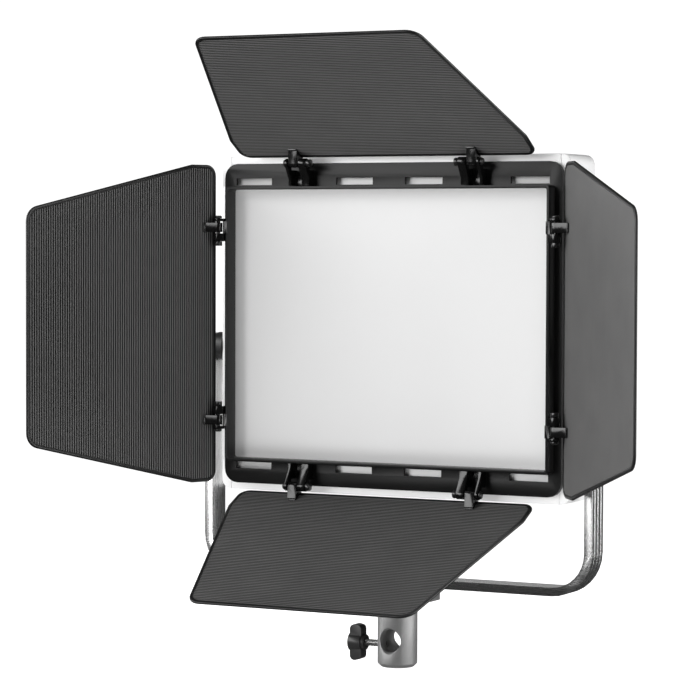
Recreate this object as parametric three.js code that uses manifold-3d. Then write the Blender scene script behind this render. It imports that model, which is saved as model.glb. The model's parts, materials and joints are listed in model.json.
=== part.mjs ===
// An LED panel light on a U-shaped yoke, with four barn doors, in millimetres.
// +Z is up and the light faces -Y. The origin is the centre of the receiver's lower end.
import * as THREE from "three";
import Module from "manifold-3d";
import { mergeVertices } from "three/addons/utils/BufferGeometryUtils.js";

const wasm = await Module();
wasm.setup();

// Clearance between pieces that rest on each other, and between pieces that turn on each other
const rest = 0.1;
const running = 0.2;

// Stand receiver and saddle
const receiverR = 14;
const receiverH = 47.4;
const socketR = 8.15;
const socketDepth = 39;
const crossBoreZ = 19;
const clampZ = 15;
const screwR = 2.45;
const saddleW = 59;
const saddleD = 17;
const saddleH = 9.6;
const boltR = 2.9;

// Light opening and the barn-door frame round it
const windowW = 245;
const windowH = 190;
const lipT = 2;
const lipH = 9.8;
const flangeSide = 7.5;
const flangeTop = 18.3;
const flangeT = 2;
const flangeR = 10;
const flangeW = windowW + 2 * flangeSide;
const flangeH = windowH + 2 * flangeTop;
const slotZ = windowH / 2 + lipT + 1.2;

// Housing: it stands out past the flange by a silver border
const borderX = 4.4;
const borderZ = 5.1;
const housingW = flangeW + 2 * borderX;
const housingH = flangeH + 2 * borderZ;
const housingD = 42;
const housingFront = -12;
const housingBack = housingFront + housingD;
const capW = 7.4;
const capH = 21;
const wall = 2.2;
const lipWall = 2;
const flangeFront = housingFront - rest - 4.3;
const lipFront = flangeFront - lipH;

// Yoke: its arms leave a gap beside the housing for the spacers
const yokeT = 6;
const yokeD = 19.2;
const yokeCornerR = 30;
const sideGap = 9.8;
const yokeOuterW = housingW + 2 * (sideGap + yokeT);
const barZ = receiverH + rest + saddleH + rest;
const armRise = 164.3;
const pivotZ = barZ + armRise;
const pivotBelow = 16.8;
const panelZ = pivotZ + pivotBelow;
const studR = 3.9;

// Hinges: the axis stands in front of the flange, over its edge
const axisRise = 10.6;
const axisY = flangeFront - axisRise;
const axisOutZ = flangeH / 2 - 0.3;
const footSide = 4.7;
const axisOutX = windowW / 2 + lipT + footSide + 0.3;
const footTop = axisOutZ - windowH / 2 - lipT - 0.4;
const lipBack = lipFront - axisY;
const footFront = lipBack + 1.8;
const hookOut = -(axisOutX - windowW / 2);
const hingeAt = 67;
const knuckleR = 3.4;
const leafR = 3;
const leafW = 6.8;
const thickEar = 5.6;
const thinEar = 2;
const earGap = 8.5;
const pinR = 1.45;

// Doors: their middle surface stands off the hinge axis
const doorV = 7.8;
const doorT = 2;
const doorRim = 3;
const wideDoor = { start: -3.5, base: windowW / 2 - 9.1, tip: 82.4, kink: 18.4, end: 141.5 };
const tallDoor = { start: -3.5, base: flangeH / 2 - 0.7, tip: 80.7, kink: 17.5, end: 157 };
const openTop = 31.5;
const openBottom = 25.8;
const openLeft = 22.9;
const openRight = 38.6;

// Controls on the back
const boxW = 172;
const boxH = 98;
const boxD = 20;
const boxWall = 2.5;
const boxFront = housingBack + 2.8;
const boxBack = boxFront + boxD;
const boxZ = -55;
const dialZ = -40;
const switchZ = -83.5;
const switchY = boxBack - 1.2;
const controlX = 56;

const arcSteps = 5;

const group = new THREE.Group();
const panel = new THREE.Group();
panel.position.z = panelZ;
group.add(panel);

function material(color, roughness, metalness) {
  return new THREE.MeshStandardMaterial({ color, roughness, metalness });
}

const looks = {
  silver: () => material(0xe4e5e6, 0.38, 0.75),
  yoke: () => material(0xb9bcbf, 0.32, 0.9),
  cast: () => material(0xa9acaf, 0.5, 0.85),
  black: () => material(0x1b1b1c, 0.45, 0.3),
  door: () => material(0x232325, 0.4, 0.35),
  plastic: () => material(0x141415, 0.5, 0.0),
  chrome: () => material(0xd0d2d4, 0.15, 1.0),
  steel: () => material(0x3a3b3d, 0.3, 0.9),
  opal: () => material(0xf2f2ee, 0.6, 0.0),
  white: () => material(0xf7f7f5, 0.75, 0.0),
  board: () => material(0xdfe3df, 0.5, 0.1),
  circuit: () => material(0x1d5a35, 0.45, 0.1),
  glass: () => material(0x0c1418, 0.12, 0.0),
  brass: () => material(0xb39b5c, 0.3, 1.0),
};

function add(parent, name, geometry, look) {
  const mesh = new THREE.Mesh(geometry, looks[look]());
  mesh.name = name;
  parent.add(mesh);
  return mesh;
}

// A geometry as a solid, and back
function solid(geometry) {
  const bare = new THREE.BufferGeometry();
  const loose = geometry.index ? geometry.toNonIndexed() : geometry;
  bare.setAttribute("position", loose.getAttribute("position"));
  const merged = mergeVertices(bare, 1e-4);
  return new wasm.Manifold(
    new wasm.Mesh({
      numProp: 3,
      vertProperties: new Float32Array(merged.attributes.position.array),
      triVerts: new Uint32Array(merged.index.array),
    }),
  );
}

function surface(body) {
  const mesh = body.getMesh();
  const geometry = new THREE.BufferGeometry();
  const at = new Float32Array(mesh.numVert * 3);
  for (let i = 0; i < mesh.numVert; i++) {
    at.set(mesh.vertProperties.subarray(i * mesh.numProp, i * mesh.numProp + 3), i * 3);
  }
  geometry.setAttribute("position", new THREE.BufferAttribute(at, 3));
  geometry.setIndex(new THREE.BufferAttribute(new Uint32Array(mesh.triVerts), 1));
  const flat = geometry.toNonIndexed();
  flat.computeVertexNormals();
  return flat;
}

function join(first, ...others) {
  return surface(others.reduce((sum, g) => sum.add(solid(g)), solid(first)));
}

function cut(first, ...others) {
  return surface(others.reduce((left, g) => left.subtract(solid(g)), solid(first)));
}

// A box between two corners
function box(x0, x1, y0, y1, z0, z1) {
  const geometry = new THREE.BoxGeometry(x1 - x0, y1 - y0, z1 - z0);
  return geometry.translate((x0 + x1) / 2, (y0 + y1) / 2, (z0 + z1) / 2);
}

// A rod along X, Y or Z between two values of that axis
function rod(axis, r, from, to, at, sides = 24) {
  const geometry = new THREE.CylinderGeometry(r, r, to - from, sides);
  geometry.translate(0, (from + to) / 2, 0);
  if (axis === "x") geometry.rotateZ(-Math.PI / 2);
  if (axis === "z") geometry.rotateX(Math.PI / 2);
  return geometry.translate(at[0], at[1], at[2]);
}

// A body turned about an axis through at; profile pairs are [radius, position along the axis]
function turned(axis, profile, at, sides = 24) {
  const points = profile.map(([r, h]) => new THREE.Vector2(r, h));
  const geometry = new THREE.LatheGeometry(points, sides);
  if (axis === "x") geometry.rotateZ(-Math.PI / 2);
  if (axis === "-x") geometry.rotateZ(Math.PI / 2);
  if (axis === "z") geometry.rotateX(Math.PI / 2);
  return geometry.translate(at[0], at[1], at[2]);
}

// A closed outline with its corners rounded by the third number of each point
function outline(points) {
  const shape = new THREE.Shape();
  const count = points.length;
  points.forEach(([x, y, r = 0], i) => {
    const here = new THREE.Vector2(x, y);
    const before = new THREE.Vector2(...points[(i + count - 1) % count].slice(0, 2));
    const after = new THREE.Vector2(...points[(i + 1) % count].slice(0, 2));
    const back = before.sub(here).normalize();
    const on = after.sub(here).normalize();
    const half = Math.acos(THREE.MathUtils.clamp(back.dot(on), -1, 1)) / 2;
    const reach = r ? r / Math.tan(half) : 0;
    const start = here.clone().addScaledVector(back, reach);
    const end = here.clone().addScaledVector(on, reach);
    if (i === 0) shape.moveTo(start.x, start.y);
    else shape.lineTo(start.x, start.y);
    if (r) {
      const middle = back.clone().add(on).normalize();
      const centre = here.clone().addScaledVector(middle, r / Math.sin(half));
      const a = Math.atan2(start.y - centre.y, start.x - centre.x);
      const sweep = Math.atan2(end.y - centre.y, end.x - centre.x) - a;
      const turn = Math.atan2(Math.sin(sweep), Math.cos(sweep));
      for (let k = 1; k <= arcSteps; k++) {
        const angle = a + (turn * k) / arcSteps;
        shape.lineTo(centre.x + r * Math.cos(angle), centre.y + r * Math.sin(angle));
      }
    }
  });
  return shape;
}

function rectangle(w, h, r = 0) {
  const [a, b] = [w / 2, h / 2];
  return [
    [-a, -b, r],
    [a, -b, r],
    [a, b, r],
    [-a, b, r],
  ];
}

function extrude(shape, depth) {
  return new THREE.ExtrudeGeometry(shape, { depth, bevelEnabled: false, curveSegments: arcSteps });
}

// The turn that takes X, Y and Z to three directions
function onto(x, y, z) {
  return new THREE.Matrix4().makeBasis(
    new THREE.Vector3(...x),
    new THREE.Vector3(...y),
    new THREE.Vector3(...z),
  );
}

// An outline in X and Z, between two values of Y
function slabY(shape, y0, y1) {
  return extrude(shape, y1 - y0).rotateX(Math.PI / 2).translate(0, y1, 0);
}

// A circle's points, from one angle to another in degrees
function arc(cx, cy, r, from, to, steps) {
  const points = [];
  for (let k = 0; k <= steps; k++) {
    const a = THREE.MathUtils.degToRad(from + ((to - from) * k) / steps);
    points.push([cx + r * Math.cos(a), cy + r * Math.sin(a)]);
  }
  return points;
}

// ---- Stand receiver, saddle and clamp

function receiver() {
  const body = turned(
    "z",
    [
      [0, 0],
      [receiverR - 2.5, 0],
      [receiverR, 2.5],
      [receiverR, receiverH],
      [0, receiverH],
    ],
    [0, 0, 0],
    40,
  );
  const socket = rod("z", socketR, -1, socketDepth, [0, 0, 0], 32);
  const crossBore = rod("y", socketR, -receiverR - 1, receiverR + 1, [0, 0, crossBoreZ], 32);
  const mouth = turned("y", mouthProfile(), [0, 0, crossBoreZ], 32);
  const clampHole = rod("x", screwR + 0.15, -receiverR - 1, 0, [0, 0, clampZ], 16);
  const boltHole = rod("z", boltR + 0.3, socketDepth - 1, receiverH + 1, [0, 0, 0], 16);
  return cut(body, socket, crossBore, mouth, clampHole, boltHole);
}

// The funnel at both ends of the cross bore
function mouthProfile() {
  const far = receiverR + 1;
  return [
    [0, -far],
    [socketR + 2.2, -far],
    [socketR - 0.6, -far + 3.2],
    [socketR - 0.6, far - 3.2],
    [socketR + 2.2, far],
    [0, far],
  ];
}

function saddle() {
  const block = extrude(outline(rectangle(saddleW, saddleD, 2)), saddleH);
  block.translate(0, 0, receiverH + rest);
  return cut(block, rod("z", boltR + 0.3, receiverH - 1, receiverH + saddleH + 2, [0, 0, 0], 16));
}

function receiverBolt() {
  const top = barZ + yokeT + rest;
  const head = [
    [0, socketDepth + 1.5],
    [boltR, socketDepth + 1.5],
    [boltR, top],
    [5, top],
    [5, top + 4.6],
    [4.4, top + 5.2],
    [0, top + 5.2],
  ];
  const bolt = turned("z", head, [0, 0, 0], 20);
  const hex = rod("z", 2.6, top + 2.2, top + 6, [0, 0, 0], 6);
  return cut(bolt, hex);
}

// The middle of the knob, from the tube's axis
const knobX = receiverR + 17;

function clampScrew() {
  const profile = [
    [0, socketR + 1],
    [screwR - 0.6, socketR + 1],
    [screwR, socketR + 1.6],
    [screwR, knobX + 5],
    [0, knobX + 5],
  ];
  return turned("-x", profile, [0, 0, clampZ], 16);
}

function clampKnob() {
  const collar = rod("x", 5.4, -knobX + 4, -knobX + 6.4, [0, 0, clampZ], 20);
  const hub = rod("x", 6.6, -knobX - 5.4, -knobX + 4.1, [0, 0, clampZ], 20);
  const wing = outline([
    [-knobX - 4.4, -13.6, 3.5],
    [-knobX + 4.4, -11.6, 3],
    [-knobX + 4.4, 11.6, 3],
    [-knobX - 4.4, 13.6, 3.5],
  ]);
  const wings = slabY(wing, -4.4, 4.4).translate(0, 0, clampZ);
  const bore = rod("x", screwR + running, -knobX - 5.2, -knobX + 8, [0, 0, clampZ], 16);
  return surface(solid(join(hub, collar, wings)).subtract(solid(bore)));
}

// ---- Yoke

// Half of the yoke's centre line, offset by a distance from its outer side
function yokeRun(inset) {
  const x = yokeOuterW / 2 - inset;
  const r = yokeCornerR - inset;
  const z = barZ + inset;
  return [[x, pivotZ + yokeD], ...arc(x - r, z + r, r, 0, -90, 8)];
}

function yokeStrip(inset, thick) {
  const outer = yokeRun(inset);
  const inner = yokeRun(inset + thick);
  const left = (run) => run.map(([x, z]) => [-x, z]).reverse();
  const points = [...outer, ...left(outer), ...left(inner).reverse(), ...inner.reverse()];
  return outline(points);
}

function yoke() {
  const bar = slabY(yokeStrip(0, yokeT), -yokeD / 2, yokeD / 2);
  const top = arc(0, pivotZ, yokeD / 2, 0, 180, 12);
  const side = outline([[-yokeD / 2, barZ - 1], [yokeD / 2, barZ - 1], ...top]);
  const reach = yokeOuterW / 2 + 1;
  const ends = extrude(side, 2 * reach).applyMatrix4(onto([0, 1, 0], [0, 0, 1], [1, 0, 0]));
  ends.translate(-reach, 0, 0);
  const groove = (y) => slabY(yokeStrip(-1, 1.7), y - 0.8, y + 0.8);
  let body = solid(bar).intersect(solid(ends));
  const bores = [
    rod("x", studR + 0.4, -reach, reach, [0, 0, pivotZ], 24),
    rod("z", boltR + 0.4, barZ - 1, barZ + yokeT + 1, [0, 0, 0], 16),
  ];
  const pitch = yokeD * 0.28;
  const cuts = [groove(-pitch), groove(0), groove(pitch), ...bores];
  cuts.forEach((g) => {
    body = body.subtract(solid(g));
  });
  return surface(body);
}

// ---- Tilt pivots, mirrored for the two sides

function pivotStud(side) {
  const from = housingW / 2 - wall;
  const profile = [
    [0, from - 3.6],
    [8, from - 3.6],
    [8, from - 0.2],
    [studR, from - 0.2],
    [studR, yokeOuterW / 2 + 13],
    [studR - 0.6, yokeOuterW / 2 + 13.6],
    [0, yokeOuterW / 2 + 13.6],
  ];
  return turned(side > 0 ? "x" : "-x", profile, [0, 0, -pivotBelow], 20);
}

function pivotSpacer(side) {
  const from = housingW / 2 + rest;
  const to = yokeOuterW / 2 - yokeT - running;
  const profile = [
    [studR + 0.3, from],
    [13, from],
    [13, from + 1.6],
    [10, from + 2.4],
    [10, to],
    [studR + 0.3, to],
    [studR + 0.3, from],
  ];
  return turned(side > 0 ? "x" : "-x", profile, [0, 0, -pivotBelow], 24);
}

function tiltKnob(side) {
  const from = yokeOuterW / 2 + 0.3;
  const profile = [
    [studR + 0.3, from],
    [10, from],
    [10, from + 4],
    [14.8, from + 6],
    [14.8, from + 18],
    [12.8, from + 20],
    [0, from + 20],
    [0, from + 15.5],
    [studR + 0.3, from + 15.5],
    [studR + 0.3, from],
  ];
  const axis = side > 0 ? "x" : "-x";
  const body = turned(axis, profile, [0, 0, -pivotBelow], 36);
  const flutes = [];
  for (let k = 0; k < 6; k++) {
    const a = (k * Math.PI) / 3;
    const at = [0, 17.4 * Math.cos(a), 17.4 * Math.sin(a) - pivotBelow];
    const ends = side > 0 ? [from + 5, from + 21] : [-from - 21, -from - 5];
    flutes.push(rod("x", 4.6, ends[0], ends[1], at, 12));
  }
  return cut(body, ...flutes);
}

// ---- Housing

// A channel that opens towards the panel's centre: outer wall, front lip and back lip
function channel(outward, depthIn) {
  const [front, back] = [housingFront, housingBack];
  return [
    [front, outward],
    [front, outward - depthIn],
    [front + lipWall, outward - depthIn],
    [front + lipWall, outward - wall],
    [back - lipWall, outward - wall],
    [back - lipWall, outward - depthIn],
    [back, outward - depthIn],
    [back, outward],
  ];
}

function railWide(side) {
  const half = housingW / 2 - capW - rest;
  const shape = outline(channel(housingH / 2, capH - rest));
  const rail = extrude(shape, 2 * half).applyMatrix4(onto([0, 1, 0], [0, 0, side], [side, 0, 0]));
  return rail.translate(-side * half, 0, 0);
}

function railTall(side) {
  const half = housingH / 2 - capH - rest;
  const shape = outline(channel(housingW / 2, capW - rest));
  const rail = extrude(shape, 2 * half).applyMatrix4(onto([0, 1, 0], [side, 0, 0], [0, 0, -side]));
  rail.translate(0, 0, side * half);
  const ends = side > 0 ? [housingW / 2 - 10, housingW / 2 + 5] : [-housingW / 2 - 5, -housingW / 2 + 10];
  return cut(rail, rod("x", studR + 0.3, ends[0], ends[1], [0, 0, -pivotBelow], 20));
}

function cornerCap(sx, sz) {
  const [x0, x1] = [housingW / 2 - capW + rest, housingW / 2];
  const [z0, z1] = [housingH / 2 - capH + rest, housingH / 2];
  const points = [
    [x0, z0],
    [x1, z0],
    [x1, z1, 7],
    [x0, z1],
  ].map(([x, z, r]) => [sx * x, sz * z, r]);
  return slabY(outline(sx * sz > 0 ? points : points.reverse()), housingFront, housingBack);
}

function backPlate() {
  const [w, h] = [housingW - 2 * capW + 2, housingH - 14];
  const plate = slabY(outline(rectangle(w, h, 4)), housingBack + rest, housingBack + 2.6);
  const fins = [];
  const count = 20;
  const reach = w / 2 - 14;
  const [low, high] = [boxZ + boxH / 2 + 10, h / 2 - 13.4];
  for (let k = 0; k < count; k++) {
    const x = -reach + (k * 2 * reach) / (count - 1);
    fins.push(box(x - 0.8, x + 0.8, housingBack + 2.4, housingBack + 13, low, high));
  }
  const inlet = box(54, 66, housingBack, housingBack + 3, -60, -48);
  return surface(solid(join(plate, ...fins)).subtract(solid(inlet)));
}

function diffuser() {
  const [x, z] = [housingW / 2 - capW - 0.4, windowH / 2 + 10];
  return box(-x, x, housingFront + lipWall + rest, housingFront + lipWall + rest + 3, -z, z);
}

const boardFront = housingBack - 4;

function reflector() {
  const [w, h] = [windowW + 4, windowH + 18];
  const outer = outline(rectangle(w, h, 3));
  outer.holes.push(outline(rectangle(w - 4, h - 4, 2)));
  return slabY(outer, housingFront + lipWall + 3.3, boardFront - running);
}

function ledBoard() {
  const [x, z] = [windowW / 2 + 1.5, windowH / 2 + 9];
  return box(-x, x, boardFront, boardFront + 1.6, -z, z);
}

// ---- Barn-door frame

function frameSlots() {
  const far = windowW / 2 - 16.2;
  const slots = [];
  [-far, -26.7, 26.7, far].forEach((x) => {
    [-1, 1].forEach((side) => {
      const [z0, z1] = side > 0 ? [slotZ, slotZ + 4.8] : [-slotZ - 4.8, -slotZ];
      slots.push(box(x - 14.2, x + 14.2, flangeFront - 1, flangeFront + flangeT + 1, z0, z1));
    });
  });
  return slots;
}

function barnFrame() {
  const inner = () => outline(rectangle(windowW, windowH, 1.5));
  const plate = outline(rectangle(flangeW, flangeH, flangeR));
  plate.holes.push(inner());
  const lip = outline(rectangle(windowW + 2 * lipT, windowH + 2 * lipT, 2.5));
  lip.holes.push(inner());
  const skirt = outline(rectangle(flangeW, flangeH, flangeR));
  skirt.holes.push(outline(rectangle(flangeW - 4, flangeH - 4, flangeR - 2)));
  const parts = [
    slabY(plate, flangeFront, flangeFront + flangeT),
    slabY(lip, lipFront, flangeFront + 0.5),
    slabY(skirt, flangeFront + 1, housingFront - rest),
  ];
  return cut(join(...parts), ...frameSlots());
}

// ---- Doors and hinges, one set of axes for each side of the frame

const wideSide = { at: axisOutZ, door: wideDoor, foot: footTop };
const tallSide = { at: axisOutX, door: tallDoor, foot: footSide };
const sides = {
  top: { ...wideSide, out: new THREE.Vector3(0, 0, 1), open: openTop },
  bottom: { ...wideSide, out: new THREE.Vector3(0, 0, -1), open: openBottom },
  left: { ...tallSide, out: new THREE.Vector3(-1, 0, 0), open: openLeft },
  right: { ...tallSide, out: new THREE.Vector3(1, 0, 0), open: openRight },
};

// The frame of a side: origin on the hinge axis, first axis out, second back, third along the hinge
function fixedFrame(side) {
  const back = new THREE.Vector3(0, 1, 0);
  const along = side.out.clone().cross(back);
  const frame = new THREE.Matrix4().makeBasis(side.out, back, along);
  return frame.setPosition(side.out.clone().multiplyScalar(side.at).setY(axisY));
}

// The frame of a door: first axis along the door from its hinge, second out of its outer face
function doorFrame(side) {
  const a = THREE.MathUtils.degToRad(side.open);
  const back = new THREE.Vector3(0, 1, 0);
  const run = side.out.clone().multiplyScalar(Math.sin(a)).addScaledVector(back, -Math.cos(a));
  const face = side.out.clone().multiplyScalar(Math.cos(a)).addScaledVector(back, Math.sin(a));
  const frame = new THREE.Matrix4().makeBasis(run, face, run.clone().cross(face));
  return frame.setPosition(side.out.clone().multiplyScalar(side.at).setY(axisY));
}

// Shape between two distances from the middle of the hinge axis, at either end
function alongHinge(shape, from, to, end) {
  const part = extrude(shape, to - from);
  return part.translate(0, 0, end > 0 ? from : -to);
}

// The hole for the pin, in a shape across the hinge axis
function pinHole() {
  const points = arc(0, 0, pinR + 0.25, 360, 0, 12).slice(0, 12);
  return new THREE.Path(points.map(([x, y]) => new THREE.Vector2(x, y)));
}

// A wide foot stands up beside the frame's lip and leans out to the knuckle, a narrow one is
// a plain leg; both stop short of the door's edge behind the knuckle
function earShape(foot) {
  const seat = axisRise - rest;
  const wide = foot > 10;
  const knuckle = arc(0, 0, knuckleR, wide ? -116 : -135, 60, 12);
  const inner = wide ? [[-4.6, 4], [-4.6, seat]] : [[-2.4, 4.6], [-2.4, seat]];
  const front = wide
    ? [[-foot, seat], [-foot, footFront], [-foot + 4.7, footFront]]
    : [[-foot, seat], [-foot, -1.6]];
  const shape = outline([...front, ...knuckle, ...inner]);
  shape.holes.push(pinHole());
  return shape;
}

const thickAt = hingeAt + 1.3 - earGap / 2 - thickEar;

function hingeBase(side, end) {
  const ears = earShape(side.foot);
  const inner = side.foot > 10 ? -9.8 : -2.6;
  const thick = side.foot > 10 ? 0.8 : 1.9;
  const seat = axisRise - rest;
  const foot = outline([
    [-side.foot, seat],
    [-side.foot, seat - thick],
    [inner, seat - thick],
    [inner, seat],
  ]);
  const thinAt = thickAt + thickEar + earGap;
  const parts = [
    alongHinge(ears, thickAt, thickAt + thickEar, end),
    alongHinge(ears, thinAt, thinAt + thinEar, end),
    alongHinge(foot, thickAt + thickEar - 0.1, thinAt + 0.1, end),
  ];
  if (side.foot < 10) {
    const over = lipBack - rest;
    const hook = outline([
      [hookOut, over],
      [hookOut, over - 1.1],
      [-3.9, over - 1.1],
      [-3.9, over],
    ]);
    parts.push(alongHinge(hook, thickAt + thickEar - 0.1, thinAt + 0.1, end));
  }
  return join(...parts).applyMatrix4(fixedFrame(side));
}

// A wedge from the knuckle out to the door's inner face, with a small toe at its end
function hingeLeaf(side, end) {
  const pad = doorV - doorT / 2 - rest;
  const lean = THREE.MathUtils.degToRad(openTop);
  const [tx, ty] = [leafR * Math.cos(lean), -leafR * Math.sin(lean)];
  const reach = (high) => tx + ((high - ty) * Math.sin(lean)) / Math.cos(lean);
  const toe = pad - 1;
  const shape = outline([
    [-leafR, pad],
    ...arc(0, 0, leafR, 180, 360 - openTop, 12),
    [reach(toe), toe],
    [reach(toe) + 0.9, toe + 0.2],
    [reach(toe) + 1.3, pad],
  ]);
  shape.holes.push(pinHole());
  const mid = hingeAt + 1.3;
  return alongHinge(shape, mid - leafW / 2, mid + leafW / 2, end).applyMatrix4(doorFrame(side));
}

// A screw head outside the thin ear, a nut outside the thick one
function hingePin(side, end) {
  const thinEnd = thickAt + thickEar + earGap + thinEar;
  const profile = [
    [0, thickAt - 3.2],
    [2.8, thickAt - 3.2],
    [2.8, thickAt - rest],
    [pinR, thickAt - rest],
    [pinR, thinEnd + rest],
    [2.6, thinEnd + rest],
    [2.6, thinEnd + 1.5],
    [1.8, thinEnd + 2.1],
    [0, thinEnd + 2.1],
  ];
  const pin = turned("y", profile, [0, 0, 0], 12);
  pin.rotateX(end > 0 ? Math.PI / 2 : -Math.PI / 2);
  return pin.applyMatrix4(fixedFrame(side));
}

function doorOutline(door, inset) {
  const [a, b] = [door.base - inset, door.tip - inset];
  const [start, end] = [door.start + inset, door.end - inset];
  return outline([
    [start, a, 8 - inset],
    [start, -a, 8 - inset],
    [door.kink, -a, 6],
    [end, -b, 11 - inset],
    [end, b, 11 - inset],
    [door.kink, a, 6],
  ]);
}

// A flat plate inside a raised rim
function door(side) {
  const rim = doorOutline(side.door, 0);
  rim.holes.push(doorOutline(side.door, doorRim));
  const plate = doorOutline(side.door, 1);
  const turn = (g) => g.applyMatrix4(onto([1, 0, 0], [0, 0, 1], [0, -1, 0]));
  const ring = turn(extrude(rim, doorT)).translate(0, doorV + doorT / 2, 0);
  const sheet = turn(extrude(plate, 1)).translate(0, doorV + 0.5, 0);
  return join(ring, sheet).applyMatrix4(doorFrame(side));
}

// ---- Controls on the back

function controlBox() {
  const shell = slabY(outline(rectangle(boxW, boxH, 5)), boxFront, boxBack);
  const inside = outline(rectangle(boxW - 2 * boxWall, boxH - 2 * boxWall, 3));
  const hollow = slabY(inside, boxFront - 1, boxBack - 2.4);
  const parts = [shell, hollow].map((g) => g.translate(0, 0, boxZ));
  const holes = [
    box(-26, 26, boxBack - 3, boxBack + 1, -48, -22),
    rod("y", 3.4, boxBack - 3, boxBack + 1, [-controlX, 0, dialZ], 16),
    rod("y", 3.4, boxBack - 3, boxBack + 1, [controlX, 0, dialZ], 16),
    box(-controlX - 10, -controlX + 10, boxBack - 3, boxBack + 1, switchZ - 6.5, switchZ + 6.5),
    rod("y", 5.6, boxBack - 3, boxBack + 1, [controlX, 0, switchZ], 20),
  ];
  return cut(parts[0], parts[1], ...holes);
}

function display() {
  return box(-25.8, 25.8, boxBack - 2.2, boxBack - 0.4, -47.8, -22.2);
}

function dial(x) {
  const profile = [
    [0, boxBack - 8],
    [3, boxBack - 8],
    [3, boxBack + 0.4],
    [11, boxBack + 0.4],
    [11, boxBack + 2],
    [9.4, boxBack + 3],
    [8.8, boxBack + 13],
    [7.8, boxBack + 14],
    [0, boxBack + 14],
  ];
  const body = turned("y", profile, [x, 0, dialZ], 20);
  return cut(body, box(x - 0.7, x + 0.7, boxBack + 12.8, boxBack + 15, dialZ + 2, dialZ + 10));
}

// A rocker that turns inside its opening: its ends stay within 6.15 mm of its pivot
function powerSwitch() {
  const side = outline(
    [
      [-4.5, -3.6],
      [-1.5, -5.9],
      [0.64, -6.1],
      [2.1, 0],
      [3.05, 5.3],
      [-1.5, 5.9],
      [-4.5, 3.6],
    ].map(([y, z]) => [switchY + y, switchZ + z]),
  );
  const rocker = extrude(side, 19).applyMatrix4(onto([0, 1, 0], [0, 0, 1], [1, 0, 0]));
  return rocker.translate(-controlX - 9.5, 0, 0);
}

function dcInlet() {
  const profile = [
    [0, boxBack - 8],
    [5.4, boxBack - 8],
    [5.4, boxBack + 0.1],
    [7.2, boxBack + 0.1],
    [7.2, boxBack + 1.4],
    [3.4, boxBack + 1.4],
    [3.4, boxBack - 6],
    [0, boxBack - 6],
  ];
  const body = turned("y", profile, [controlX, 0, switchZ], 16);
  return join(body, rod("y", 1, boxBack - 6.5, boxBack + 0.2, [controlX, 0, switchZ], 8));
}

function controlBoard() {
  return box(-78, 78, boxFront + 3, boxFront + 4.6, boxZ - boxH / 2 + 6, boxZ + boxH / 2 - 8);
}

// ---- Assembly

add(group, "receiver", receiver(), "cast");
add(group, "saddle", saddle(), "cast");
add(group, "receiver_bolt", receiverBolt(), "steel");
add(group, "clamp_screw", clampScrew(), "chrome");
add(group, "clamp_knob", clampKnob(), "plastic");
add(group, "yoke", yoke(), "yoke");

[["left", -1], ["right", 1]].forEach(([name, side]) => {
  add(panel, "pivot_stud_" + name, pivotStud(side), "steel");
  add(panel, "pivot_spacer_" + name, pivotSpacer(side), "black");
  add(panel, "tilt_knob_" + name, tiltKnob(side), "plastic");
  add(panel, "rail_" + name, railTall(side), "silver");
  add(panel, "cap_top_" + name, cornerCap(side, 1), "silver");
  add(panel, "cap_bottom_" + name, cornerCap(side, -1), "silver");
});
add(panel, "rail_top", railWide(1), "silver");
add(panel, "rail_bottom", railWide(-1), "silver");
add(panel, "back_plate", backPlate(), "silver");
add(panel, "diffuser", diffuser(), "opal");
add(panel, "reflector", reflector(), "white");
add(panel, "led_board", ledBoard(), "board");
add(panel, "barn_frame", barnFrame(), "black");

Object.entries(sides).forEach(([name, side]) => {
  [["a", -1], ["b", 1]].forEach(([letter, end]) => {
    add(panel, "hinge_" + name + "_" + letter, hingeBase(side, end), "black");
    add(panel, "leaf_" + name + "_" + letter, hingeLeaf(side, end), "black");
    add(panel, "pin_" + name + "_" + letter, hingePin(side, end), "steel");
  });
  add(panel, "door_" + name, door(side), "door");
});

add(panel, "control_box", controlBox(), "plastic");
add(panel, "display", display(), "glass");
add(panel, "dial_left", dial(-controlX), "plastic");
add(panel, "dial_right", dial(controlX), "plastic");
add(panel, "power_switch", powerSwitch(), "plastic");
add(panel, "dc_inlet", dcInlet(), "steel");
add(panel, "control_board", controlBoard(), "circuit");

export default group;
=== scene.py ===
import json
import math

import bmesh
import bpy
import numpy as np
from mathutils import Matrix, Vector

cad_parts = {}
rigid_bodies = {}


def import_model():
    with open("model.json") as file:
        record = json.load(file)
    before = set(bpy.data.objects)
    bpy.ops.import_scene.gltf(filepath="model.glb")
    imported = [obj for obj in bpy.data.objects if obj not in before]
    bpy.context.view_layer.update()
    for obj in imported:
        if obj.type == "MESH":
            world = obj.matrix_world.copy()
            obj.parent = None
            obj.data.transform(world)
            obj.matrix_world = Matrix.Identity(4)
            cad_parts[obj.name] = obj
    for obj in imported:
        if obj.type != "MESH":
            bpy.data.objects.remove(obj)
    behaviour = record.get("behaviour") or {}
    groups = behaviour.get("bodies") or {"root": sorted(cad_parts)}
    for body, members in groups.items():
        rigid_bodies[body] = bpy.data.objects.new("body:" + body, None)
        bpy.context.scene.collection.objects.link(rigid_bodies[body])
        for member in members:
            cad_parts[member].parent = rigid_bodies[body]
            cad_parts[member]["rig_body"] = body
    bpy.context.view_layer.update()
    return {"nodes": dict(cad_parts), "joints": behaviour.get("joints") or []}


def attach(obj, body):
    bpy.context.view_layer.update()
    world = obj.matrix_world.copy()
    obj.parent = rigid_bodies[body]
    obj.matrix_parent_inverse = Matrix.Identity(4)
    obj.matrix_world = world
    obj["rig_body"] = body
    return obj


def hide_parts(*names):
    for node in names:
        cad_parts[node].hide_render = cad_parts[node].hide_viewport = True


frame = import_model()
nodes = frame["nodes"]
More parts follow.
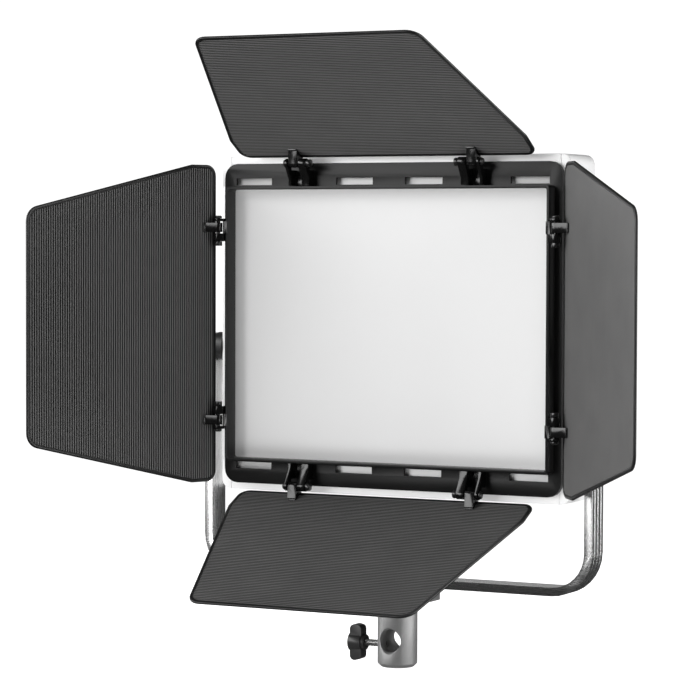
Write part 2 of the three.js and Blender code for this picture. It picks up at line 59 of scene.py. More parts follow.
joints = {j["name"]: j for j in frame["joints"]}
mm = 0.001
print("stage: frame loaded,", len(nodes), "nodes")


class Sock:
    # a socket that takes part in sums: each operator adds one Math node
    def __init__(self, mat, socket):
        self.mat = mat
        self.socket = socket

    def math(self, operation, *others, clamp=False):
        values = dict(enumerate([self, *others]))
        settings = dict(operation=operation, use_clamp=clamp)
        return self.mat.node("ShaderNodeMath", settings, values)

    def __add__(self, other):
        return self.math("ADD", other)

    def __radd__(self, other):
        return self.math("ADD", other)

    def __sub__(self, other):
        return self.math("SUBTRACT", other)

    def __rsub__(self, other):
        return (self * -1) + other

    def __mul__(self, other):
        return self.math("MULTIPLY", other)

    def __rmul__(self, other):
        return self.math("MULTIPLY", other)

    # 0 below the edge, 1 above it, with a soft step between
    def above(self, edge, soft):
        return ((self - edge) * (1 / soft)).math("ADD", 0.5, clamp=True)

    # 1 where the value lies within reach of zero
    def within(self, reach, soft):
        return 1 - self.math("ABSOLUTE").above(reach, soft)


class Mat:
    # one procedural material around a Principled shader
    def __init__(self, name, **fixed):
        self.made = bpy.data.materials.new(name)
        self.made.use_nodes = True
        self.tree = self.made.node_tree
        self.shader = self.tree.nodes["Principled BSDF"]
        for key, value in fixed.items():
            self.shader.inputs[key].default_value = value

    # any node: its type, its settings, its sockets' values or links
    def node(self, kind, settings=None, inputs=None, out=0):
        made = self.tree.nodes.new(kind)
        for key, value in (settings or {}).items():
            setattr(made, key, value)
        for key, value in (inputs or {}).items():
            self.feed(made.inputs[key], value)
        return Sock(self, made.outputs[out])

    def feed(self, socket, value):
        if isinstance(value, Sock):
            self.tree.links.new(value.socket, socket)
        else:
            socket.default_value = value

    def set(self, name, value):
        self.feed(self.shader.inputs[name], value)

    # object coordinates, stretched by scale
    def place(self, scale=(1, 1, 1)):
        where = self.node("ShaderNodeTexCoord", out=3)
        return self.node("ShaderNodeMapping", None, {0: where, 3: scale})

    def noise(self, scale, detail=3.0, rough=0.5, at=None):
        values = {"Vector": at or self.place(), "Scale": scale, "Detail": detail, "Roughness": rough}
        return self.node("ShaderNodeTexNoise", None, values)

    # one object coordinate: 0 across, 1 back, 2 up
    def axis(self, which):
        return self.node("ShaderNodeSeparateXYZ", None, {0: self.place()}, out=which)

    def painted(self, name):
        return self.node("ShaderNodeAttribute", dict(attribute_name=name), out=2)

    def blend(self, share, a, b):
        return self.node("ShaderNodeMix", dict(data_type="RGBA"), {0: share, 6: a, 7: b}, out=2)

    def bump(self, height, strength, distance):
        values = {"Strength": strength, "Distance": distance, "Height": height}
        self.set("Normal", self.node("ShaderNodeBump", None, values))


def grey(level, warm=0.0):
    return (level * (1 + warm), level, level * (1 - warm), 1)


uneven = dict(cloud=0.10, grain=0.08, middle=0.09)   # how a black coat's roughness wanders


# roughness that follows the cloud and the grain around a middle value
def wandering(cloud, grain, rough):
    return cloud * uneven["cloud"] + grain * uneven["grain"] + rough - uneven["middle"]


# a dark coat: cloudy tone between base and light, fine grain in roughness and height
def darkCoat(name, look):
    m = Mat(name, **{"Specular IOR Level": look["shine"], "Metallic": look.get("metal", 0.0)})
    cloud = m.noise(look["cloud"], 4)
    grain = m.noise(look["grain"], 2, 0.6)
    m.set("Base Color", m.blend(cloud, grey(look["base"]), grey(look["light"])))
    m.set("Roughness", wandering(cloud, grain, look["rough"]))
    m.bump(grain, look["height"], 0.0001)
    return m.made


darkCoats = dict(
    rim=dict(base=0.006, light=0.012, rough=0.34, shine=0.45, cloud=60, grain=1800, height=0.12),
    frame=dict(base=0.005, light=0.009, rough=0.33, shine=0.23, cloud=22, grain=3200, height=0.18),
    hinge=dict(base=0.003, light=0.006, rough=0.20, shine=0.60, cloud=110, grain=1500, height=0.12),
    steel=dict(base=0.055, light=0.09, rough=0.28, shine=0.5, metal=0.85, cloud=240, grain=1600,
               height=0.1),
    knob=dict(base=0.012, light=0.024, rough=0.34, shine=0.6, cloud=60, grain=1400, height=0.3),
    box=dict(base=0.014, light=0.024, rough=0.50, shine=0.5, cloud=60, grain=1900, height=0.3),
    nylon=dict(base=0.012, light=0.020, rough=0.46, shine=0.5, cloud=60, grain=2200, height=0.3),
)


# the doors' coat: painted highlight on the crests of the ribs and painted shade in the grooves
# between them
def doorCoat():
    # groove is the painted shade in the grooves; crest and the paler tone a cloud blends it with are
    # the painted highlight on the crests
    look = dict(groove=0.002, crest=0.118, litCrest=0.148, rough=0.34, shine=0.42, cloud=38, grain=2600,
                height=0.22)
    m = Mat("doorCoat", **{"Specular IOR Level": look["shine"]})
    cloud = m.noise(look["cloud"], 4)
    grain = m.noise(look["grain"], 2, 0.6)
    # the crest share sets where the painted highlight and the painted shade fall
    crest = m.painted("crest")
    litCrest = m.blend(cloud, grey(look["crest"]), grey(look["litCrest"], 0.01))
    m.set("Base Color", m.blend(crest, grey(look["groove"]), litCrest))
    m.set("Roughness", wandering(cloud, grain, look["rough"]))
    m.bump(grain, look["height"], 0.0001)
    return m.made


# plated steel: bright, with a slight haze
def brightSteel():
    look = dict(low=0.72, high=0.86, rough=0.10, haze=0.14, cloud=300, ripple=900)
    m = Mat("brightSteel", **{"Metallic": 1.0})
    cloud = m.noise(look["cloud"], 3)
    m.set("Base Color", m.blend(cloud, grey(look["low"]), grey(look["high"])))
    m.set("Roughness", cloud * look["haze"] + look["rough"])
    m.bump(m.noise(look["ripple"], 2), 0.06, 0.00008)
    return m.made


# satin silver: fine flakes over a soft cloud
def silverPaint(name, base, rough):
    look = dict(metal=0.12, cloud=14, flake=4200, dim=0.95, height=0.12)
    m = Mat(name, **{"Metallic": look["metal"]})
    cloud = m.noise(look["cloud"], 4)
    flake = m.noise(look["flake"], 1, 0.7)
    m.set("Base Color", m.blend(flake, grey(base * look["dim"]), grey(base)))
    m.set("Roughness", cloud * 0.08 + flake * 0.06 + rough - 0.07)
    m.bump(flake, look["height"], 0.00008)
    return m.made


# drawn aluminium: fine lines along the arms, and along the bar below them
def yokeMetal():
    look = dict(low=0.84, high=0.97, rough=0.27, spread=0.16, lines=900, drawn=0.02, height=0.07,
                barTop=0.088, bend=0.012)
    m = Mat("yokeMetal", **{"Metallic": 1.0})
    alongArm = m.noise(look["lines"], 3, 0.6, m.place((1, 1, look["drawn"])))
    alongBar = m.noise(look["lines"], 3, 0.6, m.place((look["drawn"], 1, 1)))
    arm = m.axis(2).above(look["barTop"], look["bend"])
    line = alongArm * arm + alongBar * (1 - arm)
    m.set("Base Color", m.blend(line, grey(look["low"]), grey(look["high"])))
    m.set("Roughness", line * look["spread"] + look["rough"] - look["spread"] / 2)
    m.bump(line, look["height"], 0.00008)
    return m.made


# blasted die casting: a sandy grain with small pits
def castMetal():
    look = dict(low=0.27, high=0.46, rough=0.42, metal=0.8, cloud=90, grain=1500, pits=1300.0,
                height=0.55)
    m = Mat("castMetal", **{"Metallic": look["metal"]})
    grain = m.noise(look["grain"], 4, 0.65)
    cloud = m.noise(look["cloud"], 3)
    pits = m.node("ShaderNodeTexVoronoi", None, {"Vector": m.place(), "Scale": look["pits"]})
    tone = cloud * 0.6 + grain * 0.4
    m.set("Base Color", m.blend(tone, grey(look["low"]), grey(look["high"])))
    m.set("Roughness", grain * 0.18 + look["rough"])
    m.bump(grain * 0.7 + pits * 0.6, look["height"], 0.00016)
    return m.made


# opal sheet: even and matt, with a faint painted glow though the panel is off, which lightens the
# shade the lip casts on it
def opal():
    look = dict(low=0.80, high=0.84, rough=0.55, shine=0.3, paintedGlow=0.12, cloud=9, tooth=2400)
    m = Mat("opal", **{"Specular IOR Level": look["shine"], "Emission Strength": look["paintedGlow"]})
    cloud = m.noise(look["cloud"], 3)
    m.set("Base Color", m.blend(cloud, grey(look["low"]), grey(look["high"])))
    m.set("Roughness", cloud * 0.06 + look["rough"])
    # the emission is a painted glow: the panel is not lit
    m.set("Emission Color", (1, 1, 1, 1))
    m.bump(m.noise(look["tooth"], 2), 0.05, 0.00005)
    return m.made


# the light box's white lining
def whiteSheet():
    look = dict(low=0.82, high=0.9, rough=0.55, cloud=40)
    m = Mat("whiteSheet")
    cloud = m.noise(look["cloud"], 3)
    m.set("Base Color", m.blend(cloud, grey(look["low"]), grey(look["high"])))
    m.set("Roughness", cloud * 0.1 + look["rough"])
    return m.made


# a white board with a square grid of small yellow chips
def ledBoard():
    look = dict(pitch=0.012, chip=0.0028, board=0.78, chipColour=(0.85, 0.62, 0.12, 1))
    m = Mat("ledBoard")

    def near(which):
        off = (m.axis(which) * (1 / look["pitch"])).math("FRACT") - 0.5
        return off.within(look["chip"] / look["pitch"] / 2, 0.02)

    chip = near(0) * near(2)
    m.set("Base Color", m.blend(chip, grey(look["board"]), look["chipColour"]))
    m.set("Roughness", 0.5 - chip * 0.25)
    return m.made


# a green board with paler tracks
def circuit():
    look = dict(board=(0.012, 0.09, 0.035, 1), track=(0.03, 0.17, 0.06, 1), tracks=120, share=0.52)
    m = Mat("circuit")
    mask = m.noise(look["tracks"], 1, 0.3, m.place((1, 1, 4))).above(look["share"], 0.03)
    m.set("Base Color", m.blend(mask, look["board"], look["track"]))
    m.set("Roughness", mask * 0.1 + 0.35)
    return m.made


# a dark display behind a clear cover
def glass():
    look = dict(deep=(0.006, 0.011, 0.013, 1), pale=(0.012, 0.018, 0.021, 1), shine=0.6, cloud=30)
    m = Mat("displayGlass", **{"Specular IOR Level": look["shine"], "Coat Roughness": 0.04})
    cloud = m.noise(look["cloud"], 3)
    m.set("Base Color", m.blend(cloud, look["deep"], look["pale"]))
    m.set("Roughness", cloud * 0.08 + 0.06)
    m.set("Coat Weight", cloud * 0.3 + 0.5)
    return m.made


looks = {
    "door": doorCoat(),
    "housing": silverPaint("housingSilver", 0.95, 0.38),
    "cap": silverPaint("capSilver", 0.92, 0.42),
    "bright": brightSteel(),
    "yoke": yokeMetal(),
    "cast": castMetal(),
    "opal": opal(),
    "white": whiteSheet(),
    "led": ledBoard(),
    "circuit": circuit(),
    "glass": glass(),
}
looks.update({name: darkCoat(name + "Black", look) for name, look in darkCoats.items()})
print("stage: materials made,", len(looks))


# the body that a CAD node rides on
def bodyOf(node):
    return nodes[node]["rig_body"]


# a finished object in the scene, on its body, standing for its CAD nodes
def place(name, data, body, replaces=()):
    made = bpy.data.objects.new(name, data)
    bpy.context.scene.collection.objects.link(made)
    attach(made, body)
    if replaces:
        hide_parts(*replaces)
    return made


# points and faces as arrays, merged, facing out, smooth but for corners sharper than angle
def meshPiece(name, points, faces, look, body, angle=35, replaces=(), painted=None):
    data = bpy.data.meshes.new(name)
    data.from_pydata(points, [], faces)
    if painted:
        for key, values in painted.items():
            data.attributes.new(key, "FLOAT", "POINT").data.foreach_set("value", values)
    b = bmesh.new()
    b.from_mesh(data)
    bmesh.ops.recalc_face_normals(b, faces=b.faces)
    b.to_mesh(data)
    b.free()
    data.polygons.foreach_set("use_smooth", np.ones(len(data.polygons), bool))
    data.set_sharp_from_angle(angle=math.radians(angle))
    data.materials.append(looks[look])
    return place(name, data, body, replaces)


# quads between neighbours of a rows by columns grid, wrapped round where asked
def gridFaces(rows, columns, wrapRows=False, wrapColumns=False):
    i = np.arange(rows if wrapRows else rows - 1)
    j = np.arange(columns if wrapColumns else columns - 1)
    a, b = np.meshgrid(i, j, indexing="ij")
    c, d = (a + 1) % rows, (b + 1) % columns
    corners = [a * columns + b, c * columns + b, c * columns + d, a * columns + d]
    return np.stack(corners, -1).reshape(-1, 4)


edges = dict(merge=2e-6, flat=1.0, corner=32)   # metres, degrees, degrees


# a CAD node's copy with doubles merged, flats made whole, and its edges rounded by width
def softened(node, look, width, segments):
    data = nodes[node].data.copy()
    b = bmesh.new()
    b.from_mesh(data)
    bmesh.ops.remove_doubles(b, verts=b.verts, dist=edges["merge"])
    flat = math.radians(edges["flat"])
    bmesh.ops.dissolve_limit(b, angle_limit=flat, verts=b.verts, edges=b.edges)
    for face in b.faces:
        face.smooth = True
    b.to_mesh(data)
    b.free()
    data.materials.clear()
    data.materials.append(looks[look])
    made = place(node + "_skin", data, bodyOf(node), (node,))
    bevel = made.modifiers.new("edges", "BEVEL")
    bevel.width = width * mm
    bevel.segments = segments
    bevel.limit_method = "ANGLE"
    bevel.angle_limit = math.radians(edges["corner"])
    bevel.harden_normals = True
    bevel.use_clamp_overlap = True
    return made


# rows of radius and length turned about an axis; shaped(turn, length, radius) gives the final radius
def turnedPiece(node, look, rows, centre, axis, steps=64, shaped=None, angle=35):
    rows = np.array(rows, float)
    turn = np.linspace(0, 2 * np.pi, steps, endpoint=False)[None, :]
    radius, length = rows[:, 0:1] + 0 * turn, rows[:, 1:2] + 0 * turn
    if shaped:
        radius = shaped(turn, length, radius)
    axis = np.array(axis, float)
    side = np.cross(axis, [0.0, 0.0, 1.0])
    if not side.any():
        side = np.array([1.0, 0.0, 0.0])
    up = np.cross(side, axis)
    spoke = np.cos(turn)[..., None] * up + np.sin(turn)[..., None] * side
    grid = np.array(centre, float) + radius[..., None] * spoke + length[..., None] * axis
    faces = gridFaces(len(rows), steps, wrapColumns=True).tolist()
    last = (len(rows) - 1) * steps
    faces += [list(range(steps)), list(range(last, last + steps))]
    points = grid.reshape(-1, 3) * mm
    return meshPiece(node + "_skin", points, faces, look, bodyOf(node), angle, (node,))


# each door: its side, degrees open from straight ahead, half widths and lengths in mm
doorShape = {
    "top": dict(out=(0, 0, 1), open=31.5, base=113.4, tip=82.4, kink=18.4, end=141.5),
    "bottom": dict(out=(0, 0, -1), open=25.8, base=113.4, tip=82.4, kink=18.4, end=141.5),
    "left": dict(out=(-1, 0, 0), open=22.9, base=112.6, tip=80.7, kink=17.5, end=157.0),
    "right": dict(out=(1, 0, 0), open=38.6, base=112.6, tip=80.7, kink=17.5, end=157.0),
}
doorMake = dict(
    start=-3.5,      # hinge edge, from the hinge axis
    middle=7.8,      # the sheet's middle, out of the hinge axis
    rim=3.0,         # width of the rolled edge
    rimHigh=2.0,     # its height
    sheet=1.0,       # thickness of the sheet
    pitch=1.92,      # from rib to rib
    rib=0.8,         # height of a rib on the inner face
    back=0.3,        # height of a rib on the outer face
    ribPath=((0.0, 1.0), (0.15, 0.88), (0.30, 0.76), (0.36, 0.0), (0.94, 0.0)),
    corners=(8.0, 6.0, 11.0),   # radius at the hinge edge, the kink and the outer edge
    bead=(20, 0.75, 0.6),       # points round the rolled edge, and how square it is each way
    tuck=0.55,       # how far the sheet goes under the rolled edge, of its width
    rows=7,          # points across the sheet
    crestLitFrom=0.75,     # height share from which a crest takes the full painted highlight
)


# origin on the hinge axis, then the directions along the door, out of its face, and along the hinge
def doorFrame(side):
    d = doorShape[side]
    out = np.array(d["out"], float)
    back = np.array([0.0, 1.0, 0.0])
    a = math.radians(d["open"])
    run = math.sin(a) * out - math.cos(a) * back
    face = math.cos(a) * out + math.sin(a) * back
    origin = np.array(joints["door_" + side + "_swing"]["pos_m"], float)
    return origin, run, face, np.cross(run, face)


# straight sides joined by arcs: each corner is x, y and its radius
def roundedLoop(corners, steps=8):
    c = np.array(corners, float)
    points = []
    for k in range(len(c)):
        here, r = c[k, :2], c[k, 2]
        a = c[k - 1, :2] - here
        b = c[(k + 1) % len(c), :2] - here
        a, b = a / np.linalg.norm(a), b / np.linalg.norm(b)
        half = math.acos(np.clip(a @ b, -1, 1)) / 2
        middle = here + (a + b) / np.linalg.norm(a + b) * r / math.sin(half)
        p, q = here + a * r / math.tan(half), here + b * r / math.tan(half)
        t0, t1 = math.atan2(*(p - middle)[::-1]), math.atan2(*(q - middle)[::-1])
        sweep = math.atan2(math.sin(t1 - t0), math.cos(t1 - t0))
        t = t0 + sweep * np.linspace(0, 1, steps)
        points.append(middle + r * np.stack([np.cos(t), np.sin(t)], 1))
    return np.concatenate(points)


# the door's six-sided outline, drawn in from its edge by inset
def doorLoop(d, inset):
    s, e = doorMake["start"] + inset, d["end"] - inset
    a, b = d["base"] - inset, d["tip"] - inset
    hinge, kink, outer = doorMake["corners"]
    return roundedLoop([
        (s, a, hinge - inset), (s, -a, hinge - inset), (d["kink"], -a, kink),
        (e, -b, outer - inset), (e, b, outer - inset), (d["kink"], a, kink),
    ])


# a closed profile of in-plane offset and height carried round a closed loop on its mitred normals
def sweptRim(loop, profile):
    ahead = np.roll(loop, -1, 0) - loop
    ahead /= np.linalg.norm(ahead, axis=1)[:, None]
    normal = np.stack([ahead[:, 1], -ahead[:, 0]], 1)
    mitre = normal + np.roll(normal, 1, 0)
    mitre /= (mitre * normal).sum(1)[:, None]
    plane = loop[:, None, :] + mitre[:, None, :] * profile[None, :, 0, None]
    high = np.broadcast_to(profile[None, :, 1, None], plane.shape[:2] + (1,))
    return np.concatenate([plane, high], 2)


# one rib after another: a crest that slopes down along the run, then a square groove
def ribRows(ribs):
    part, height = np.array(doorMake["ribPath"]).T
    phase = (np.arange(ribs)[:, None] + part[None]).ravel()
    return np.append(phase, ribs), np.append(np.tile(height, ribs), height[0])


# points along the run, along the hinge and out of the face, put where the door is
def onDoor(side, local):
    origin, run, face, along = doorFrame(side)
    u, w, v = local[..., 0:1], local[..., 1:2], local[..., 2:3]
    return (origin + (u * run + w * along + v * face) * mm).reshape(-1, 3)


# the rolled edge: a flattened round, powers of sine and cosine, carried round the outline
def makeDoorEdge(side):
    m = doorMake
    steps, square, squareHigh = m["bead"]
    turn = np.linspace(0, 2 * np.pi, steps, endpoint=False)
    bead = np.stack([
        np.sign(np.cos(turn)) * np.abs(np.cos(turn)) ** square * m["rim"] / 2,
        np.sign(np.sin(turn)) * np.abs(np.sin(turn)) ** squareHigh * m["rimHigh"] / 2,
    ], 1)
    loop = doorLoop(doorShape[side], m["rim"] / 2)
    rim = onDoor(side, sweptRim(loop, bead) + np.array([0, 0, m["middle"]]))
    faces = gridFaces(len(loop), len(bead), True, True)
    body = "door_" + side
    meshPiece("doorEdge_" + side, rim, faces, "rim", body, 50, (body,))


# the ribbed sheet: ridges across the run, tucked under the edge all round
def makeDoorSheet(side):
    d, m = doorShape[side], doorMake
    inset = m["rim"] * m["tuck"]
    edgeLoop = doorLoop(d, inset)
    start, end = m["start"] + inset, d["end"] - inset
    ribs = round((end - start) / m["pitch"])
    phase, crest = ribRows(ribs)
    u = start + phase / ribs * (end - start)
    upper = edgeLoop[edgeLoop[:, 1] > 0]
    upper = upper[np.argsort(upper[:, 0], kind="stable")]
    half = np.interp(u, upper[:, 0], upper[:, 1])
    inner = m["middle"] - m["sheet"] / 2 - m["rib"] * (crest - 0.5)
    outer = m["middle"] + m["sheet"] / 2 + m["back"] * (crest - 0.5)
    t = np.linspace(-1, 1, m["rows"])[:, None]
    ring = np.concatenate([np.arange(len(u)), np.arange(len(u))[::-1]])
    high = np.concatenate([inner, outer[::-1]])
    grid = np.stack(np.broadcast_arrays(u[ring][None], t * half[ring][None], high[None]), -1)
    n = len(ring)
    i = np.arange(len(u) - 1)
    cap = np.stack([i, i + 1, n - 2 - i, n - 1 - i], 1)
    last = cap[:, ::-1] + (len(t) - 1) * n
    faces = np.concatenate([gridFaces(len(t), n, wrapColumns=True), cap, last])
    # crest share per point, for the coat's painted highlight on crests and painted shade in grooves
    painted = dict(crest=np.tile(np.minimum(crest[ring] / m["crestLitFrom"], 1), len(t)))
    points = onDoor(side, grid)
    meshPiece("doorSheet_" + side, points, faces, "door", "door_" + side, 30,
              painted=painted)


for side in doorShape:
    makeDoorEdge(side)
    makeDoorSheet(side)
print("stage: doors made")

# CAD nodes whose shape is right, with rounded edges: look, width, steps, slot
softEdges = dict(
    barn_frame=("frame", 0.45, 3, "frame_black"),
    yoke=("yoke", 0.55, 3, "yoke_aluminium"),
    saddle=("cast", 0.7, 3, "cast_metal"),
    receiver=("cast", 0.5, 3, "cast_metal"),
    clamp_knob=("knob", 1.3, 4, "knob_plastic"),
    back_plate=("housing", 0.3, 2, "housing_silver"),
    control_box=("box", 1.0, 3, "box_plastic"),
    display=("glass", 0.4, 2, "display_glass"),
    power_switch=("knob", 0.5, 2, "knob_plastic"),
    dc_inlet=("steel", 0.15, 2, "dark_steel"),
    receiver_bolt=("steel", 0.3, 2, "dark_steel"),
    pivot_stud_left=("steel", 0.3, 2, "dark_steel"),
    pivot_stud_right=("steel", 0.3, 2, "dark_steel"),
    pivot_spacer_left=("nylon", 0.3, 2, "spacer_nylon"),
    pivot_spacer_right=("nylon", 0.3, 2, "spacer_nylon"),
)
for end in ("top", "bottom", "left", "right"):
    softEdges["rail_" + end] = ("housing", 0.5, 3, "housing_silver")
for end in ("top_left", "top_right", "bottom_left", "bottom_right"):
    softEdges["cap_" + end] = ("cap", 0.6, 3, "cap_silver")
for side in doorShape:
    for end in "ab":
        softEdges[f"hinge_{side}_{end}"] = ("hinge", 0.28, 2, "hinge_black")
        softEdges[f"leaf_{side}_{end}"] = ("hinge", 0.28, 2, "hinge_black")
        softEdges[f"pin_{side}_{end}"] = ("steel", 0.2, 2, "dark_steel")
for node, (look, width, segments, slot) in softEdges.items():
    softened(node, look, width, segments)
print("stage: edges rounded,", len(softEdges))

# flat sheets keep their CAD shape and take a material
flatSheets = dict(diffuser="opal", reflector="white", led_board="led", control_board="circuit")
for node, look in flatSheets.items():
    nodes[node].data.materials.clear()
    nodes[node].data.materials.append(looks[look])


# a lobed hand knob: round flutes cut into the rim, their mouths eased
tiltKnob = dict(
    rows=[(3, 150.5), (9.6, 150.5), (10, 150.9), (10, 155.2), (12.4, 156.5), (14.2, 156.6),
          (14.8, 157.2), (14.8, 161), (14.8, 167.2), (14.3, 168.6), (13.2, 169.7), (12.2, 170.4),
          (9.4, 170.5), (8.8, 169.9), (1.5, 169.7), (0.1, 169.7)],
    height=221.5, flutes=6, fluteAt=17.4, fluteR=4.6, ease=0.5, rim=11,
)


# the radius, cut back to the nearest flute's round and blended by a soft minimum
def fluted(turn, length, radius):
    k = tiltKnob
    step = 2 * np.pi / k["flutes"]
    off = np.abs((turn + step / 2) % step - step / 2)
    inside = np.clip(k["fluteR"] ** 2 - (k["fluteAt"] * np.sin(off)) ** 2, 0, None)
    cut = np.where(inside > 0, k["fluteAt"] * np.cos(off) - np.sqrt(inside), 99)
    eased = -np.log(np.exp(-radius / k["ease"]) + np.exp(-cut / k["ease"])) * k["ease"]
    return np.where(radius > k["rim"], np.minimum(radius, eased), radius)


for name, way in dict(tilt_knob_left=-1, tilt_knob_right=1).items():
    centre = (0, 0, tiltKnob["height"])
    turnedPiece(name, "knob", tiltKnob["rows"], centre, (way, 0, 0), 144, fluted, 30)

# a knurled dial on a plain skirt; its pointer is a pale line at the top of its face
dial = dict(
    rows=[(2.8, 53.2), (10.6, 53.2), (11, 53.5), (11, 54.5), (10.7, 54.8), (9.7, 55), (9.4, 55.8),
          (9.1, 60), (8.8, 65.6), (8.5, 66.2), (7.9, 66.7), (7.4, 66.8), (0.1, 66.8)],
    across=56, up=198.3, knurls=30, knurl=0.35, gripFrom=55.4, gripTo=66.0,
    pointer=dict(wide=0.00062, above=2.2, before=4, tone=0.75),
)


# the radius less a cosine ripple, along the grip only
def knurled(turn, length, radius):
    grip = (length > dial["gripFrom"]) & (length < dial["gripTo"])
    return radius - grip * dial["knurl"] * (0.5 - 0.5 * np.cos(turn * dial["knurls"]))


# the knobs' plastic with the dial's pointer painted on it
def dialPlastic(name, across):
    look, line = darkCoats["knob"], dial["pointer"]
    m = Mat(name, **{"Specular IOR Level": look["shine"]})
    grain = m.noise(look["grain"], 3, 0.6)
    beside = (m.axis(0) - across * mm).within(line["wide"], 0.0002)
    ahead = m.axis(1).above((dial["gripTo"] - line["before"]) * mm, 0.0003)
    upper = m.axis(2).above((dial["up"] + line["above"]) * mm, 0.0002)
    plain = m.blend(grain, grey(look["base"]), grey(look["light"]))
    m.set("Base Color", m.blend(beside * ahead * upper, plain, grey(line["tone"])))
    m.set("Roughness", grain * 0.2 + look["rough"] - 0.1)
    m.bump(grain, look["height"], 0.00012)
    return m.made


for name, way in dict(dial_left=-1, dial_right=1).items():
    looks[name] = dialPlastic(name + "Plastic", way * dial["across"])
    centre = (way * dial["across"], 0, dial["up"])
    turnedPiece(name, name, dial["rows"], centre, (0, 1, 0), 180, knurled, 40)

# a threaded rod: the radius rises and falls once a turn and once a pitch
clampScrew = dict(
    start=9.15, end=36.0, radius=2.45, height=15.0, pitch=1.0, depth=0.42, perTurn=10,
    plainTo=10.4, runout=1.2,   # plain up to here, then the thread deepens over this length
    tip=(0.5, 0.6),             # how much thinner the tip is, and over what length
)


# the radius less a triangle wave that moves one pitch along for each turn
def threaded(turn, length, radius):
    k = clampScrew
    wave = np.abs(((length / k["pitch"] - turn / (2 * np.pi)) % 1) - 0.5) * 2
    cut = np.clip((length - k["plainTo"]) / k["runout"], 0, 1) * k["depth"]
    return radius - cut * wave


# rows of radius and length down the screw, thinner at its tip
def screwRows():
    k = clampScrew
    count = int((k["end"] - k["start"]) * k["perTurn"] / k["pitch"])
    length = np.linspace(k["start"], k["end"], count)
    thinner, over = k["tip"]
    radius = k["radius"] - thinner * np.clip(1 - (length - k["start"]) / over, 0, 1)
    return np.stack([radius, length], 1)


centre = (0, 0, clampScrew["height"])
turnedPiece("clamp_screw", "bright", screwRows(), centre, (-1, 0, 0), 28, threaded, 60)
print("stage: turned pieces made")

studio = dict(
    aim=0.23,                  # height that the lamps point at
    floor=(0.9, 0.9, 0.9, 1),
    floorSize=1.3,
    floorDrop=-0.0006,
    floorGlow=1.0,
    floorReach=(0.55, 1.15),   # the paper fades out between these distances
    sky=0.035,
    skySeen=1.1,
)
lamps = {
    "key": dict(azimuth=-33, elevation=12.5, away=2.8, wide=1.8, tall=1.65, power=44),
    "leftBox": dict(azimuth=-72, elevation=14, away=2.8, wide=1.8, tall=1.4, power=40),
    "rightBox": dict(azimuth=103, elevation=6, away=1.8, wide=1.0, tall=1.5, power=22),
    "crestStrip": dict(azimuth=70, elevation=4, away=1.8, wide=0.4, tall=1.5, power=9),
    "overhead": dict(azimuth=10, elevation=80, away=2.0, wide=1.3, tall=1.3, power=7),
    "behind": dict(azimuth=220, elevation=10, away=2.4, wide=2.2, tall=1.6, power=3),
}


# a square of paper under the object, white to the eye, fading out to the backdrop
def makeFloor():
    s, drop = studio["floorSize"], studio["floorDrop"]
    data = bpy.data.meshes.new("floor")
    data.from_pydata([(-s, -s, drop), (s, -s, drop), (s, s, drop), (-s, s, drop)], [], [(0, 1, 2, 3)])
    made = bpy.data.objects.new("floor", data)
    bpy.context.scene.collection.objects.link(made)
    fixed = {"Roughness": 0.9, "Specular IOR Level": 0.0, "Emission Strength": studio["floorGlow"]}
    m = Mat("floorPaper", **fixed)
    m.set("Base Color", studio["floor"])
    m.set("Emission Color", (1, 1, 1, 1))
    away = m.node("ShaderNodeVectorMath", dict(operation="LENGTH"), {0: m.place()}, out=1)
    near, far = studio["floorReach"]
    m.set("Alpha", 1 - away.above((near + far) / 2, far - near))
    data.materials.append(m.made)
    made.visible_glossy = False


# the direction of an azimuth and elevation, seen from the object
def direction(azimuth, elevation):
    a, e = math.radians(azimuth), math.radians(elevation)
    return Vector((math.sin(a) * math.cos(e), -math.cos(a) * math.cos(e), math.sin(e)))


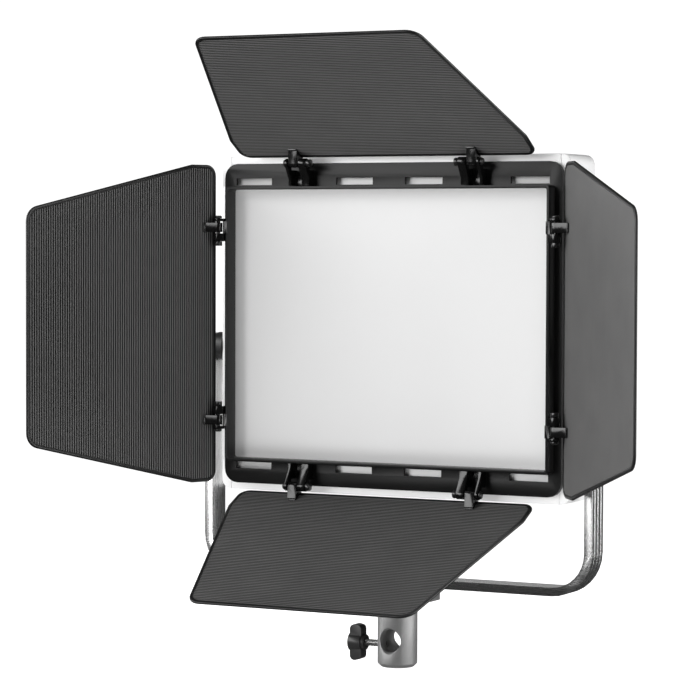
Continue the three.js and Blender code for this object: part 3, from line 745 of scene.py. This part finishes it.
# a soft box that points at the middle of the object; the camera doesn't see it
def areaLight(name, lamp):
    back = direction(lamp["azimuth"], lamp["elevation"])
    data = bpy.data.lights.new(name, "AREA")
    data.shape = "RECTANGLE"
    data.size = lamp["wide"]
    data.size_y = lamp["tall"]
    data.energy = lamp["power"]
    made = bpy.data.objects.new(name, data)
    bpy.context.scene.collection.objects.link(made)
    made.location = Vector((0, 0, studio["aim"])) + back * lamp["away"]
    made.rotation_mode = "QUATERNION"
    made.rotation_quaternion = back.to_track_quat("Z", "Y")
    made.visible_camera = False


# the camera sees plain white; light and reflections get a faint grey
def makeWorld():
    world = bpy.data.worlds.new("studio")
    world.use_nodes = True
    bpy.context.scene.world = world
    tree = world.node_tree
    ground = tree.nodes["Background"]
    seen = tree.nodes.new("ShaderNodeBackground")
    for node, strength in ((ground, studio["sky"]), (seen, studio["skySeen"])):
        node.inputs[0].default_value = (1, 1, 1, 1)
        node.inputs[1].default_value = strength
    path = tree.nodes.new("ShaderNodeLightPath")
    mix = tree.nodes.new("ShaderNodeMixShader")
    tree.links.new(path.outputs[0], mix.inputs[0])
    tree.links.new(ground.outputs[0], mix.inputs[1])
    tree.links.new(seen.outputs[0], mix.inputs[2])
    tree.links.new(mix.outputs[0], tree.nodes["World Output"].inputs[0])


shot = dict(
    azimuth=27.152, elevation=2.333, roll=0.175,
    target=(-38.122, 0.0, 220.617), away=1988.327,   # mm
    lens=145.32, sensor=36,
)


# the camera looks at its target along the shot's direction, turned a little about its own axis
def makeCamera():
    back = direction(shot["azimuth"], shot["elevation"])
    a = math.radians(shot["azimuth"])
    right = Vector((math.cos(a), math.sin(a), 0))
    up = back.cross(right)
    r = math.radians(shot["roll"])
    turned = math.cos(r) * right + math.sin(r) * up
    up = math.cos(r) * up - math.sin(r) * right
    data = bpy.data.cameras.new("camera")
    data.lens = shot["lens"]
    data.sensor_width = shot["sensor"]
    data.clip_start, data.clip_end = 0.05, 200
    made = bpy.data.objects.new("camera", data)
    bpy.context.scene.collection.objects.link(made)
    pose = Matrix((turned, up, back)).transposed().to_4x4()
    pose.translation = Vector(shot["target"]) * mm + back * shot["away"] * mm
    made.matrix_world = pose
    bpy.context.scene.camera = made


makeFloor()
makeWorld()
for name, lamp in lamps.items():
    areaLight(name, lamp)
makeCamera()
bpy.context.scene.view_settings.view_transform = "Standard"
print("stage: studio made")
